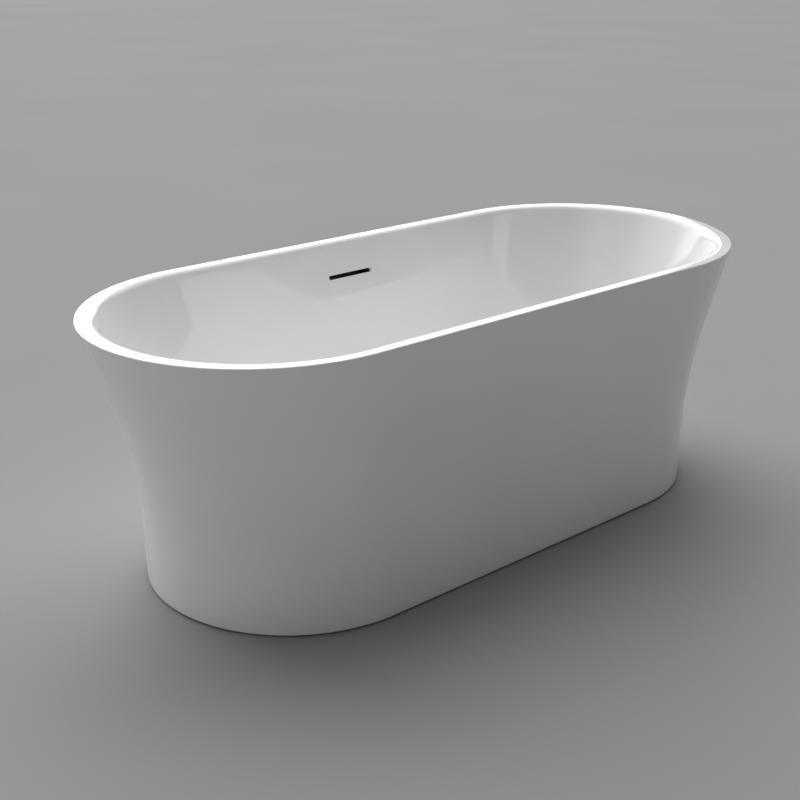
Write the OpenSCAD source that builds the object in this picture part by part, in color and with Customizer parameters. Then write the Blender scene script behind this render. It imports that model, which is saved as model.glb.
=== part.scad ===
// Freestanding double-shell bathtub with a levelling frame, a slot overflow and a push-to-close waste.
// Units are millimetres. X runs along the bath, +Y is the overflow side, +Z is up.
// The origin is on the floor, under the middle of the bath.

/* [Bath] */
// Length over the rim
bath_length = 1700; // [1420:10:2040]
// Width over the rim
bath_width = 750; // [630:10:900]
// Height from the floor to the top of the rim
bath_height = 600; // [500:5:720]
// Gap between the skirt and the floor, which the feet stand across
skirt_gap = 4; // [2:1:6]

/* [Skirt] */
// How far each end of the skirt leans out between its upright foot and the rim
end_flare = 110; // [92:2:132]
// How far each side of the skirt leans out between its upright foot and the rim
side_flare = 39; // [30:1:47]
// Height of the upright foot of the skirt
upright_height = 134; // [112:2:160]
// Height of the straight leaning band below the rim
lean_height = 162; // [136:2:194]
// Thickness of the skirt
skirt_wall = 5; // [4:0.5:6]

/* [Basin] */
// Height of the basin's floor above the ground
floor_height = 150; // [140:1:180]
// Thickness of the basin
basin_wall = 7; // [5.5:0.5:8.5]
// How far each end wall of the basin leans in between the rim and the floor
end_wall_lean = 205; // [172:1:246]
// How far each side wall of the basin leans in between the rim and the floor
side_wall_lean = 126; // [105:1:150]
// Length of the curve between the floor and an end wall, along the floor
end_blend = 110; // [92:2:132]
// Length of the curve between the floor and a side wall, along the floor
side_blend = 46; // [38:1:55]
// Height of the curve between the floor and the walls
blend_rise = 120; // [100:2:144]
// Width of the rim along the sides
rim_side_width = 34; // [28:1:41]
// Width of the rim at the ends
rim_end_width = 40.5; // [34:0.5:48.5]
// Rounding of the rim's outer edge
rim_outer_round = 4; // [3:0.5:6]
// Rounding of the rim's inner edge
rim_inner_round = 15; // [12:0.5:18]
// Height of the rim's turned-down edge, whose lower end is the joint with the skirt
lip_height = 25; // [21:1:30]

/* [Overflow] */
// Length of the overflow slot
slot_length = 130; // [108:2:156]
// Height of the overflow slot
slot_height = 10; // [8:0.5:12]
// Drop from the rim to the middle of the slot
slot_drop = 82; // [70:1:98]
// Wall of the overflow hose
hose_wall = 2.5; // [2:0.1:3]
// Radius of the hose's bend under the basin
hose_bend = 70; // [58:1:84]

/* [Waste] */
// Outside diameter of the tail that the trap slides onto
tail_diameter = 40; // [33:1:48]
// Length of the tail below the waste body
tail_length = 36; // [30:1:42]
// Diameter of the drain flange
flange_diameter = 70; // [64:1:84]
// Outside diameter of the drain flange's threaded tube
thread_diameter = 44.8; // [40:0.2:48]
// Travel of the plug between open and closed
plug_travel = 9; // [7:0.5:11]

/* [Frame] */
// Width and height of the frame's square tubes
bar_size = 30; // [25:1:36]
// Wall of the frame's square tubes
bar_wall = 2; // [1.6:0.1:2.4]
// Thickness of the board under the basin's floor
board_thickness = 15; // [12:0.5:18]
// Distance from the drain to the middle bars
middle_bar_offset = 150; // [125:5:180]
// Thread diameter of the levelling feet
stud_diameter = 12; // [10:0.5:14]
// Diameter of a foot pad
pad_diameter = 50; // [42:1:60]
// How far a foot can be screwed out from where it stands
foot_extend = 15; // [10:1:18]

/* [Hidden] */
$fn = 64;
CUT = 1;               // how far a cutting solid runs past what it cuts
OVERLAP = 1;           // how far one shape runs into another that it is joined to
END_STEPS = 30;        // flats around each round end
CURVE_STEPS = 12;      // rings up the skirt's curved band
BLEND_STEPS = 8;       // rings around the basin's lower curve
ROUND_STEPS = 4;       // rings around the rim's edges
FIT = 0.08;            // radial clearance of a stem or stud in its own hole
THREAD_FIT = 0.2;      // radial clearance between mating plain threads

white = [0.93, 0.93, 0.93];
steel = [0.62, 0.64, 0.66];
rubber = [0.08, 0.08, 0.08];
plywood = [0.72, 0.56, 0.36];
grey_plastic = [0.35, 0.36, 0.37];
chrome = [0.85, 0.86, 0.88];
glass_fibre = [0.80, 0.80, 0.70];

// Skirt outline
curve_start = upright_height;
curve_end = bath_height - lean_height;
lean_rate = 1 / ((curve_end - curve_start) / 2 + lean_height);
flares = [end_flare, side_flare];
skirt_slopes = flares * lean_rate;
// The rim's rounding takes a little off a leaning edge, so the sharp corner stands further out.
rim_half = [for (i = [0, 1]) [bath_length, bath_width][i] / 2
    + rim_outer_round * skirt_slopes[i] / (1 + skirt_slopes[i])];
foot_half = rim_half - flares;
joint_z = bath_height - lip_height;
straight_half = foot_half[0] - foot_half[1];

// Basin outline
basin_depth = bath_height - floor_height;
inner_rim = [bath_length / 2 - rim_end_width, bath_width / 2 - rim_side_width];
wall_leans = [end_wall_lean, side_wall_lean];
wall_slopes = wall_leans / basin_depth;
blends = [end_blend, side_blend];
floor_corner = inner_rim - wall_leans;
floor_flat = floor_corner - blends;
side_angle = atan(wall_slopes[1]);

// Frame under the basin
board_margin = 15;
board_half = floor_flat - [board_margin, board_margin];
board_top = floor_height - basin_wall;
bar_top = board_top - board_thickness;
bar_bottom = bar_top - bar_size;
rail_half_length = board_half[0];
rail_y = board_half[1] - bar_size / 2;
board_chamfer = 25;
screw_radius = 2.5;
screw_head = [4.5, 3];
screw_fit = 0.1;
screw_bite = 10;

// Levelling feet
stud_radius = stud_diameter / 2 - FIT;
nut_bore = stud_diameter / 2;
weld_nut_height = 12;
nut_wall = 5;
weld_nut_radius = nut_bore + nut_wall;
lock_nut_height = 10;
HEX_SHARE = 1.83;       // corner radius of a hexagon nut, as a share of its thread's radius
nut_flats_radius = nut_bore * HEX_SHARE;
pad_height = 6;
hub_height = 14;
hub_radius = nut_bore + nut_wall;
socket_floor = 4;
stud_end_gap = 0.05;
stud_hole_gap = 1;     // radial room around a stud in the bar
stud_hex_z = 16;
stud_hex_height = 8;
stud_spare = 4;        // thread left in the bar when a foot is screwed right out
stud_top = bar_bottom + foot_extend + stud_spare;
foot_inset = 50;
foot_x = rail_half_length - foot_inset;
foot_spots = [
    [foot_x, rail_y], [foot_x, -rail_y], [-foot_x, rail_y], [-foot_x, -rail_y], [-middle_bar_offset, 0]
];

// Arms that tie the skirt to the frame
arm_width = 30;
arm_thickness = 4;
arm_tab_height = 35;
block_size = [60, 18, 50];
block_margin = 23;
block_drop = 5;
arm_foot_gap = 80;
arm_x = min(straight_half - block_size[0] / 2 - block_margin, foot_x - arm_foot_gap);
arm_z = bar_bottom - arm_thickness;
block_face_y = foot_half[1] - skirt_wall - block_size[1];
arm_screw_radius = 2;
arm_screw_head = [3.5, 2.5];
arm_screw_bite = 12;
arm_screw_pitch = 16;
arm_screw_rise = 3;
screw_inset = [10, 15];
screw_x = [middle_bar_offset + bar_size + screw_inset[0], arm_x - bar_size - screw_inset[1]];

// Joint at the rim
strip_height = 30;
strip_thickness = 4;
GLUE = 0.05;           // thickness of a glue line

// Overflow duct, in the slanted frame of the side wall
slot_z = bath_height - slot_drop;
duct_wall = 2.5;
duct_margin = 12.5;
duct_rise = 11;
duct_half = [slot_length / 2 + duct_margin, slot_height / 2 + duct_rise];
duct_gap = 2.5;
seal_thickness = 2;
seal_margin = 4;
duct_face = basin_wall + seal_thickness;
// The duct fills the space between the seal and the skirt, which is narrowest at the duct's top.
duct_top_z = slot_z + duct_half[1] - duct_face;
duct_room = skirt_size(duct_top_z, skirt_wall)[1] - duct_gap - wall_size(slot_z, false)[1];
duct_depth = (duct_room - duct_half[1] * sin(side_angle)) / cos(side_angle) - duct_face;
duct_axis = duct_face + duct_depth / 2;
hose_radius = duct_depth / 2;
hose_bore = 2 * (hose_radius - hose_wall);
spigot_gap = 0.05;
spigot_radius = hose_bore / 2 - spigot_gap;
spigot_wall = 2;
spigot_length = 30;
hose_overlap = 25;
clip_thickness = 1.2;
clip_gap = 0.05;
clip_width = 9;
clip_box = [12, 7, 9];

// Waste under the drain
flange_thickness = 3;
recess_depth = 3;
recess_gap = 1.5;      // radial room around the flange in its recess
top_gasket = 2;
low_gasket = 3;
gasket_gap = 0.5;      // radial room around the thread in the top gasket
low_gasket_inset = 3;
recess_z = floor_height - recess_depth;
flange_z = recess_z + top_gasket;
flange_top = flange_z + flange_thickness;
drain_gap = 3.6;       // radial room around the thread in the basin's hole
drain_hole_radius = thread_diameter / 2 + drain_gap;
thread_length = 37;
tube_wall = 2.4;
tube_bore = thread_diameter / 2 - tube_wall;
body_bore = thread_diameter / 2 + THREAD_FIT;
body_wall = 4.4;
body_flange_reach = 14;
body_radius = body_bore + body_wall;
body_flange = body_radius + body_flange_reach;
body_flange_thickness = 6;
body_top = board_top - low_gasket;
body_height = 83;
inlet_rise = 22;
hose_clearance = 4;    // least gap between the hose and the rail that it passes under
body_bottom = min(body_top - body_height, bar_bottom - hose_clearance - hose_radius - inlet_rise);
body_floor = 4;
tail_bottom = body_bottom - tail_length;
tail_wall = 2;
inlet_z = body_bottom + inlet_rise;
inlet_length = 35;
board_hole_gap = 4;
inlet_reach = body_radius + inlet_length;
board_hole = body_flange + board_hole_gap;

// Plug and its spring cartridge
cap_inset = 4;
cap_radius = flange_diameter / 2 - cap_inset;
cap_edge = 2;
cap_dome = 4;
cap_seat_gap = 0.3;
cap_z = flange_top + cap_seat_gap + plug_travel;
seat_height = 6;
seal_wire = 1.4;
seal_gap = 0.3;
seat_radius = tube_bore - seal_gap - seal_wire;
seal_drop = 3.5;
seal_z = cap_z - seal_drop;
stem_radius = 4;
collar_radius = 5.8;
collar_height = 3;
chamber_radius = 6;
cartridge_radius = 7.2;
seat_gap = 1;          // gap under the cap's seat when the plug is shut
cartridge_top = flange_top + cap_seat_gap - seat_height - seat_gap;
cartridge_lid = 7;
cartridge_flange = [9.5, 3];
chamber_top = cartridge_top - cartridge_lid;
chamber_height = 32;
cartridge_floor = 4;
chamber_floor = chamber_top - chamber_height;
collar_gap = 0.1;      // gap between the stem's collar and the lid of the chamber
collar_z = chamber_top - collar_height - collar_gap;
hub_wall = 3.8;
web_height = 10;
hub_ring = cartridge_radius + hub_wall;
web_z = cartridge_top - cartridge_flange[1] - web_height;
web_width = 3;
spring_turns = 7;
spring_wire = 0.5;
spring_gap = 0.4;      // radial gap between the spring and its chamber
spring_radius = chamber_radius - spring_wire - spring_gap;
SPRING_SIDES = 6;
SPRING_STEPS = 14;

FEET = 5;
ARMS = 4;

// ---- Outlines ----

// Share of the flare reached at height z
function flare_at(z) =
    z <= curve_start ? 0
    : z < curve_end ? lean_rate * pow(z - curve_start, 2) / (2 * (curve_end - curve_start))
    : lean_rate * ((curve_end - curve_start) / 2 + z - curve_end);

// [half length, half width, height] of the skirt's face at height z, moved in by inset
function skirt_size(z, inset = 0) =
    let (half = foot_half + flares * flare_at(z) - [inset, inset])
    [half[0], half[1], z];

// Height of the basin's floor plane, on its inner or its outer face
function plane_z(outer) = floor_height - (outer ? basin_wall : 0);

// Where the basin's straight walls would meet its floor plane, on its inner or its outer face
function wall_foot(i, outer) =
    floor_corner[i] + (outer ? basin_wall * (sqrt(1 + pow(wall_slopes[i], 2)) - wall_slopes[i]) : 0);

// Size of the basin's straight walls at height z
function wall_size(z, outer) =
    let (h = z - plane_z(outer))
    [wall_foot(0, outer) + wall_slopes[0] * h, wall_foot(1, outer) + wall_slopes[1] * h, z];

// Size along the curve from the flat floor, at t = 0, to the straight walls, at t = 1
function blend_size(t, outer) =
    let (half = [for (i = [0, 1])
        wall_foot(i, outer) - blends[i] * pow(1 - t, 2) + wall_slopes[i] * blend_rise * pow(t, 2)])
    [half[0], half[1], plane_z(outer) + blend_rise * pow(t, 2)];

// Size around a rim edge, from its wall at t = 0 to the flat top at t = 1
function edge_size(t, corner, slopes, radius, turn) =
    let (half = [for (i = [0, 1])
        corner[i] - slopes[i] * radius * pow(1 - t, 2) + turn * radius * pow(t, 2)])
    [half[0], half[1], bath_height - radius * pow(1 - t, 2)];

// Points of a stadium: two half circles joined by straight sides
function stadium(size) =
    let (r = size[1], s = size[0] - size[1])
    [for (side = [1, -1], k = [0:END_STEPS])
        let (a = (k / END_STEPS - 0.5) * 180)
        [side * (s + r * cos(a)), side * r * sin(a), size[2]]];

// A solid through rings of points. A closed one joins its last ring to its first.
module loft(rings, closed = false) {
    n = len(rings[0]);
    m = len(rings);
    last = closed ? m - 1 : m - 2;
    bands = [for (i = [0:last], j = [0:n - 1])
        let (a = i * n, b = ((i + 1) % m) * n, k = (j + 1) % n)
        each [[a + j, b + k, a + k], [a + j, b + j, b + k]]];
    caps = closed ? [] : [[for (j = [0:n - 1]) j], [for (j = [n - 1:-1:0]) (m - 1) * n + j]];
    polyhedron(points = [for (r = rings) each r], faces = concat(bands, caps), convexity = 6);
}

// ---- Bath body ----

skirt_heights = concat(
    [skirt_gap],
    [for (k = [0:CURVE_STEPS]) curve_start + (curve_end - curve_start) * k / CURVE_STEPS],
    [joint_z]
);

module outer_skirt() {
    outside = [for (z = skirt_heights) stadium(skirt_size(z))];
    inside = [for (k = [len(skirt_heights) - 1:-1:0]) stadium(skirt_size(skirt_heights[k], skirt_wall))];
    color(white)
        loft(concat(outside, inside), closed = true);
}

module basin_shell() {
    plate_z = bath_height - basin_wall;
    mid_z = floor_height + blend_rise + (basin_depth - blend_rise) / 2;
    steps = [for (k = [0:BLEND_STEPS]) k / BLEND_STEPS];
    rounds = [for (k = [0:ROUND_STEPS]) k / ROUND_STEPS];
    sizes = concat(
        [for (t = steps) blend_size(t, true)],
        [wall_size(mid_z, true), wall_size(plate_z, true)],
        [skirt_size(plate_z, skirt_wall), skirt_size(joint_z, skirt_wall), skirt_size(joint_z)],
        [for (t = rounds) edge_size(t, rim_half, skirt_slopes, rim_outer_round, -1)],
        [for (t = rounds) edge_size(1 - t, inner_rim, wall_slopes, rim_inner_round, 1)],
        [wall_size(mid_z, false)],
        [for (t = steps) blend_size(1 - t, false)]
    );
    loft([for (s = sizes) stadium(s)]);
}

// The frame of the rear wall at the slot: its inner face is y = 0, and +Z runs up the wall
module at_slot() {
    translate([0, wall_size(slot_z, false)[1], slot_z])
        rotate([-side_angle, 0, 0])
            children();
}

module basin() {
    color(white)
        difference() {
            basin_shell();
            at_slot()
                translate([-slot_length / 2, -CUT * 4, -slot_height / 2])
                    cube([slot_length, basin_wall + CUT * 8, slot_height]);
            translate([0, 0, board_top - CUT])
                cylinder(r = drain_hole_radius, h = basin_wall + CUT);
            translate([0, 0, recess_z])
                cylinder(r = flange_diameter / 2 + recess_gap, h = recess_depth + CUT);
        }
}

// A laminated strip behind the joint between the rim and the skirt
module rim_bonding_strip() {
    low = joint_z - strip_height / 2;
    high = joint_z + strip_height / 2;
    corners = [[low, 0], [high, 0], [high, strip_thickness], [low, strip_thickness]];
    color(glass_fibre)
        loft([for (c = corners) stadium(skirt_size(c[0], skirt_wall + GLUE + c[1]))], closed = true);
}

// ---- Board and frame ----

module at_board_screws() {
    for (x = screw_x, sx = [1, -1], sy = [1, -1])
        translate([sx * x, sy * rail_y, 0])
            children();
}

module base_board() {
    x = board_half[0];
    y = board_half[1];
    c = board_chamfer;
    outline = [
        [x - c, -y], [x, c - y], [x, y - c], [x - c, y], [c - x, y], [-x, y - c], [-x, c - y], [c - x, -y]
    ];
    color(plywood)
        difference() {
            translate([0, 0, bar_top])
                linear_extrude(board_thickness)
                    polygon(outline);
            translate([0, 0, bar_top - CUT])
                cylinder(r = board_hole, h = board_thickness + 2 * CUT);
            at_board_screws()
                translate([0, 0, bar_top - CUT])
                    cylinder(r = screw_radius + screw_fit, h = screw_bite + CUT);
        }
}

// A square tube along X, centred on the origin, standing on bar_bottom
module bar(length) {
    inner = bar_size - 2 * bar_wall;
    translate([-length / 2, -bar_size / 2, bar_bottom])
        difference() {
            cube([length, bar_size, bar_size]);
            translate([-CUT, bar_wall, bar_wall])
                cube([length + 2 * CUT, inner, inner]);
        }
}

// Holes in a bar's lower wall for the studs of the feet
module stud_holes() {
    for (spot = foot_spots)
        translate([spot[0], spot[1], bar_bottom - CUT])
            cylinder(r = nut_bore + stud_hole_gap, h = bar_wall + 2 * CUT);
}

module frame_rail(side) {
    color(steel)
        difference() {
            translate([0, side * rail_y, 0])
                bar(2 * rail_half_length);
            stud_holes();
            at_board_screws()
                translate([0, 0, bar_bottom - CUT])
                    cylinder(r = screw_radius + screw_fit, h = bar_size + 2 * CUT);
        }
}

module frame_crossbar(x) {
    color(steel)
        difference() {
            translate([x, 0, 0])
                rotate([0, 0, 90])
                    bar(2 * rail_y - bar_size);
            stud_holes();
        }
}

module board_screws() {
    color(steel)
        at_board_screws()
            union() {
                translate([0, 0, bar_bottom - screw_head[1]])
                    cylinder(r = screw_head[0], h = screw_head[1]);
                translate([0, 0, bar_bottom - CUT])
                    cylinder(r = screw_radius, h = bar_size + screw_bite + CUT);
            }
}

// ---- Skirt ties ----

function arm_spot(k) = [(k <= 2 ? 1 : -1) * arm_x, k % 2 == 1 ? 1 : -1];

module at_arm(k) {
    spot = arm_spot(k);
    translate([spot[0], 0, 0])
        mirror([0, spot[1] < 0 ? 1 : 0, 0])
            children();
}

module at_arm_screws() {
    for (side = [1, -1])
        translate([0, block_face_y, arm_z + arm_tab_height / 2 + arm_screw_rise])
            translate([side * arm_screw_pitch / 2, 0, 0])
                rotate([-90, 0, 0])
                    children();
}

module skirt_arm(k) {
    inner_y = rail_y - bar_size / 2;
    color(steel)
        at_arm(k)
            difference() {
                translate([-arm_width / 2, inner_y, arm_z])
                    union() {
                        cube([arm_width, block_face_y - inner_y, arm_thickness]);
                        translate([0, block_face_y - inner_y - arm_thickness, 0])
                            cube([arm_width, arm_thickness, arm_tab_height]);
                    }
                at_arm_screws()
                    translate([0, 0, -arm_thickness - CUT])
                        cylinder(r = arm_screw_radius + screw_fit, h = arm_thickness + 2 * CUT);
            }
}

module skirt_block(k) {
    color(plywood)
        at_arm(k)
            difference() {
                translate([-block_size[0] / 2, block_face_y, arm_z - block_drop])
                    cube(block_size);
                at_arm_screws()
                    translate([0, 0, -CUT])
                        cylinder(r = arm_screw_radius + screw_fit, h = arm_screw_bite + CUT);
            }
}

module arm_screws() {
    color(steel)
        for (k = [1:ARMS])
            at_arm(k)
                at_arm_screws()
                    translate([0, 0, -arm_thickness])
                        union() {
                            translate([0, 0, -arm_screw_head[1]])
                                cylinder(r = arm_screw_head[0], h = arm_screw_head[1]);
                            translate([0, 0, -CUT])
                                cylinder(r = arm_screw_radius, h = arm_thickness + arm_screw_bite + CUT);
                        }
}

// ---- Levelling feet ----

module at_feet() {
    for (spot = foot_spots)
        translate([spot[0], spot[1], 0])
            children();
}

module nut(height, radius, sides) {
    difference() {
        cylinder(r = radius, h = height, $fn = sides);
        translate([0, 0, -CUT])
            cylinder(r = nut_bore, h = height + 2 * CUT);
    }
}

module foot_weld_nuts() {
    color(steel)
        at_feet()
            translate([0, 0, bar_bottom - weld_nut_height])
                nut(weld_nut_height, weld_nut_radius, $fn);
}

module foot_lock_nuts() {
    color(steel)
        at_feet()
            translate([0, 0, bar_bottom - weld_nut_height - lock_nut_height])
                nut(lock_nut_height, nut_flats_radius, 6);
}

module foot_pad(k) {
    color(rubber)
        translate([foot_spots[k - 1][0], foot_spots[k - 1][1], 0])
            difference() {
                union() {
                    cylinder(r = pad_diameter / 2, h = pad_height);
                    cylinder(r = hub_radius, h = hub_height);
                }
                translate([0, 0, socket_floor])
                    cylinder(r = nut_bore, h = hub_height);
            }
}

module foot_stud(k) {
    bottom = socket_floor + stud_end_gap;
    color(steel)
        translate([foot_spots[k - 1][0], foot_spots[k - 1][1], 0])
            union() {
                translate([0, 0, bottom])
                    cylinder(r = stud_radius, h = stud_top - bottom);
                translate([0, 0, stud_hex_z])
                    cylinder(r = nut_flats_radius, h = stud_hex_height, $fn = 6);
            }
}

// ---- Overflow ----

module overflow_seal() {
    color(rubber)
        at_slot()
            difference() {
                translate([-duct_half[0], basin_wall, -duct_half[1]])
                    cube([2 * duct_half[0], seal_thickness, 2 * duct_half[1]]);
                translate([-slot_length / 2 - seal_margin, basin_wall - CUT, -slot_height / 2 - seal_margin])
                    cube([slot_length + 2 * seal_margin, seal_thickness + 2 * CUT, slot_height + 2 * seal_margin]);
            }
}

module overflow_duct() {
    inner = [2 * (duct_half[0] - duct_wall), duct_depth - duct_wall, 2 * (duct_half[1] - duct_wall)];
    color(grey_plastic)
        at_slot()
            difference() {
                union() {
                    translate([-duct_half[0], duct_face, -duct_half[1]])
                        cube([2 * duct_half[0], duct_depth, 2 * duct_half[1]]);
                    translate([0, duct_axis, -duct_half[1] - spigot_length])
                        cylinder(r = spigot_radius, h = spigot_length + duct_wall / 2);
                }
                translate([-inner[0] / 2, duct_face - CUT, -inner[2] / 2])
                    cube([inner[0], inner[1] + CUT, inner[2]]);
                translate([0, duct_axis, -duct_half[1] - spigot_length - CUT])
                    cylinder(r = spigot_radius - spigot_wall, h = spigot_length + duct_wall + 2 * CUT);
            }
}

// The hose's centre line, as [y, z]: down beside the basin's wall, a bend, and in to the waste body
wall_way = [-sin(side_angle), -cos(side_angle)];
duct_foot = [
    wall_size(slot_z, false)[1] + duct_axis * cos(side_angle) - (duct_half[1] + spigot_length) * sin(side_angle),
    slot_z - duct_axis * sin(side_angle) - (duct_half[1] + spigot_length) * cos(side_angle)
];
hose_start = duct_foot - wall_way * hose_overlap;
hose_corner = hose_start + wall_way * (hose_start[1] - inlet_z) / cos(side_angle);
hose_turn = 90 - side_angle;
bend_reach = hose_bend * tan(hose_turn / 2);
bend_start = hose_corner - wall_way * bend_reach;
bend_centre = bend_start + [wall_way[1], -wall_way[0]] * hose_bend;
hose_end_y = inlet_reach - hose_overlap;
BEND_STEPS = 10;
hose_line = concat(
    [[each hose_start, -side_angle]],
    [for (k = [0:BEND_STEPS])
        let (a = side_angle + hose_turn * k / BEND_STEPS)
        [bend_centre[0] + hose_bend * cos(a), bend_centre[1] - hose_bend * sin(a), -a]],
    [[hose_end_y, inlet_z, -90]]
);

HOSE_SIDES = 12;

// A ring of points around the hose's centre line, at one of its [y, z, angle] stations
function hose_ring(station, radius) =
    [for (k = [0:HOSE_SIDES - 1])
        let (a = k * 360 / HOSE_SIDES, across = radius * sin(a))
        [radius * cos(a), station[0] + across * cos(station[2]), station[1] + across * sin(station[2])]];

module overflow_hose() {
    // The flats of the bore, and not its corners, stand off the spigots that it fits over.
    bore_radius = hose_bore / 2 / cos(180 / HOSE_SIDES);
    outside = [for (s = hose_line) hose_ring(s, hose_radius)];
    inside = [for (k = [len(hose_line) - 1:-1:0]) hose_ring(hose_line[k], bore_radius)];
    color(grey_plastic)
        loft(concat(inside, outside), closed = true);
}

// A band with its screw housing, around the Z axis
module hose_clip() {
    color(steel)
        difference() {
            union() {
                cylinder(r = hose_radius + clip_thickness, h = clip_width);
                translate([hose_radius - OVERLAP, -clip_box[0] / 2, 0])
                    cube([clip_box[1], clip_box[0], clip_box[2]]);
            }
            translate([0, 0, -CUT])
                cylinder(r = hose_radius + clip_gap, h = clip_width + 2 * CUT);
        }
}

module hose_clip_top() {
    at_slot()
        translate([0, duct_axis, -duct_half[1] - spigot_length + (hose_overlap - clip_width) / 2])
            hose_clip();
}

module hose_clip_bottom() {
    translate([0, inlet_reach - (hose_overlap - clip_width) / 2, inlet_z])
        rotate([90, 0, 0])
            hose_clip();
}

// ---- Drain and waste ----

module ring(outer, inner, height) {
    difference() {
        cylinder(r = outer, h = height);
        translate([0, 0, -CUT])
            cylinder(r = inner, h = height + 2 * CUT);
    }
}

module drain_gasket_top() {
    color(rubber)
        translate([0, 0, recess_z])
            ring(flange_diameter / 2, thread_diameter / 2 + gasket_gap, top_gasket);
}

module drain_gasket_bottom() {
    color(rubber)
        translate([0, 0, body_top])
            ring(body_flange, body_bore + low_gasket_inset, low_gasket);
}

module drain_flange() {
    tube_bottom = flange_top - thread_length;
    color(chrome)
        difference() {
            union() {
                translate([0, 0, flange_z])
                    ring(flange_diameter / 2, tube_bore, flange_thickness);
                translate([0, 0, tube_bottom])
                    ring(thread_diameter / 2, tube_bore, thread_length - OVERLAP);
                translate([0, 0, web_z])
                    cylinder(r = hub_ring, h = web_height);
                for (a = [0, 90])
                    rotate([0, 0, a])
                        translate([-tube_bore - OVERLAP, -web_width / 2, web_z])
                            cube([2 * (tube_bore + OVERLAP), web_width, web_height]);
            }
            translate([0, 0, web_z - CUT])
                cylinder(r = cartridge_radius + FIT, h = web_height + 2 * CUT);
        }
}

module waste_body() {
    color(grey_plastic)
        difference() {
            union() {
                translate([0, 0, body_top - body_flange_thickness])
                    cylinder(r = body_flange, h = body_flange_thickness);
                translate([0, 0, body_bottom])
                    cylinder(r = body_radius, h = body_top - body_bottom);
                translate([0, 0, tail_bottom])
                    cylinder(r = tail_diameter / 2, h = tail_length + OVERLAP);
                translate([0, 0, inlet_z])
                    rotate([-90, 0, 0])
                        cylinder(r = spigot_radius, h = inlet_reach);
            }
            translate([0, 0, body_bottom + body_floor])
                cylinder(r = body_bore, h = body_top - body_bottom);
            translate([0, 0, tail_bottom - CUT])
                cylinder(r = tail_diameter / 2 - tail_wall, h = tail_length + body_floor + 2 * CUT);
            translate([0, 0, inlet_z])
                rotate([-90, 0, 0])
                    cylinder(r = spigot_radius - spigot_wall, h = inlet_reach + CUT);
        }
}

module plug_cartridge() {
    bottom = chamber_floor - cartridge_floor;
    color(chrome)
        difference() {
            union() {
                translate([0, 0, bottom])
                    cylinder(r = cartridge_radius, h = cartridge_top - bottom);
                translate([0, 0, cartridge_top - cartridge_flange[1]])
                    cylinder(r = cartridge_flange[0], h = cartridge_flange[1]);
            }
            translate([0, 0, chamber_floor])
                cylinder(r = chamber_radius, h = chamber_height);
            translate([0, 0, chamber_floor])
                cylinder(r = stem_radius + FIT, h = cartridge_top);
        }
}

module plug_stem() {
    color(chrome)
        union() {
            translate([0, 0, collar_z])
                cylinder(r = stem_radius, h = cap_z - collar_z);
            translate([0, 0, collar_z])
                cylinder(r = collar_radius, h = collar_height);
        }
}

// The cap turns an arc over a flat underside, with a grooved seat below it for the seal
module plug_cap() {
    dome_radius = (pow(cap_radius, 2) + pow(cap_dome, 2)) / (2 * cap_dome);
    dome_centre = cap_edge + cap_dome - dome_radius;
    DOME_STEPS = 12;
    dome = [for (k = [0:DOME_STEPS])
        let (x = cap_radius * (1 - k / DOME_STEPS))
        [x, dome_centre + sqrt(pow(dome_radius, 2) - pow(x, 2))]];
    color(chrome)
        translate([0, 0, cap_z])
            difference() {
                union() {
                    rotate_extrude()
                        polygon(concat([[0, 0], [cap_radius, 0]], dome));
                    translate([0, 0, -seat_height])
                        cylinder(r = seat_radius, h = seat_height + OVERLAP);
                }
                translate([0, 0, seal_z - cap_z - seal_wire])
                    ring(seat_radius + CUT, seat_radius - seal_wire, 2 * seal_wire);
                translate([0, 0, -seat_height - CUT])
                    cylinder(r = stem_radius, h = seat_height + CUT);
            }
}

module plug_seal() {
    color(rubber)
        translate([0, 0, seal_z])
            rotate_extrude()
                translate([seat_radius, 0])
                    circle(r = seal_wire);
}

module plug_spring() {
    low = chamber_floor + spring_wire;
    rise = collar_z - spring_wire - low;
    steps = spring_turns * SPRING_STEPS;
    rings = [for (i = [0:steps])
        let (a = i * 360 / SPRING_STEPS, z = low + rise * i / steps)
        [for (j = [0:SPRING_SIDES - 1])
            let (b = j * 360 / SPRING_SIDES, r = spring_radius + spring_wire * cos(b))
            [r * cos(a), r * sin(a), z + spring_wire * sin(b)]]];
    color(steel)
        loft(rings);
}

// ---- Nodes ----

outer_skirt();
basin();
rim_bonding_strip();
base_board();
frame_rail(-1);  // frame_rail_front
frame_rail(1);  // frame_rail_rear
frame_crossbar(-arm_x);  // frame_crossbar_left
frame_crossbar(-middle_bar_offset);  // frame_crossbar_mid_left
frame_crossbar(middle_bar_offset);  // frame_crossbar_mid_right
frame_crossbar(arm_x);  // frame_crossbar_right
board_screws();
foot_weld_nuts();
foot_lock_nuts();
arm_screws();
overflow_seal();
overflow_duct();
overflow_hose();
hose_clip_top();
hose_clip_bottom();
drain_flange();
drain_gasket_top();
drain_gasket_bottom();
waste_body();
plug_cartridge();
plug_spring();
plug_stem();
plug_cap();
plug_seal();
for (k = [1:ARMS]) {
    skirt_arm(k);
    skirt_block(k);
}
for (k = [1:FEET]) {
    foot_pad(k);
    foot_stud(k);
}
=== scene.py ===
"""Studio picture of a freestanding bath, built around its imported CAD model. Metres, +Z up."""
import math

import bmesh
import bpy
from mathutils import Matrix, Vector


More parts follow.
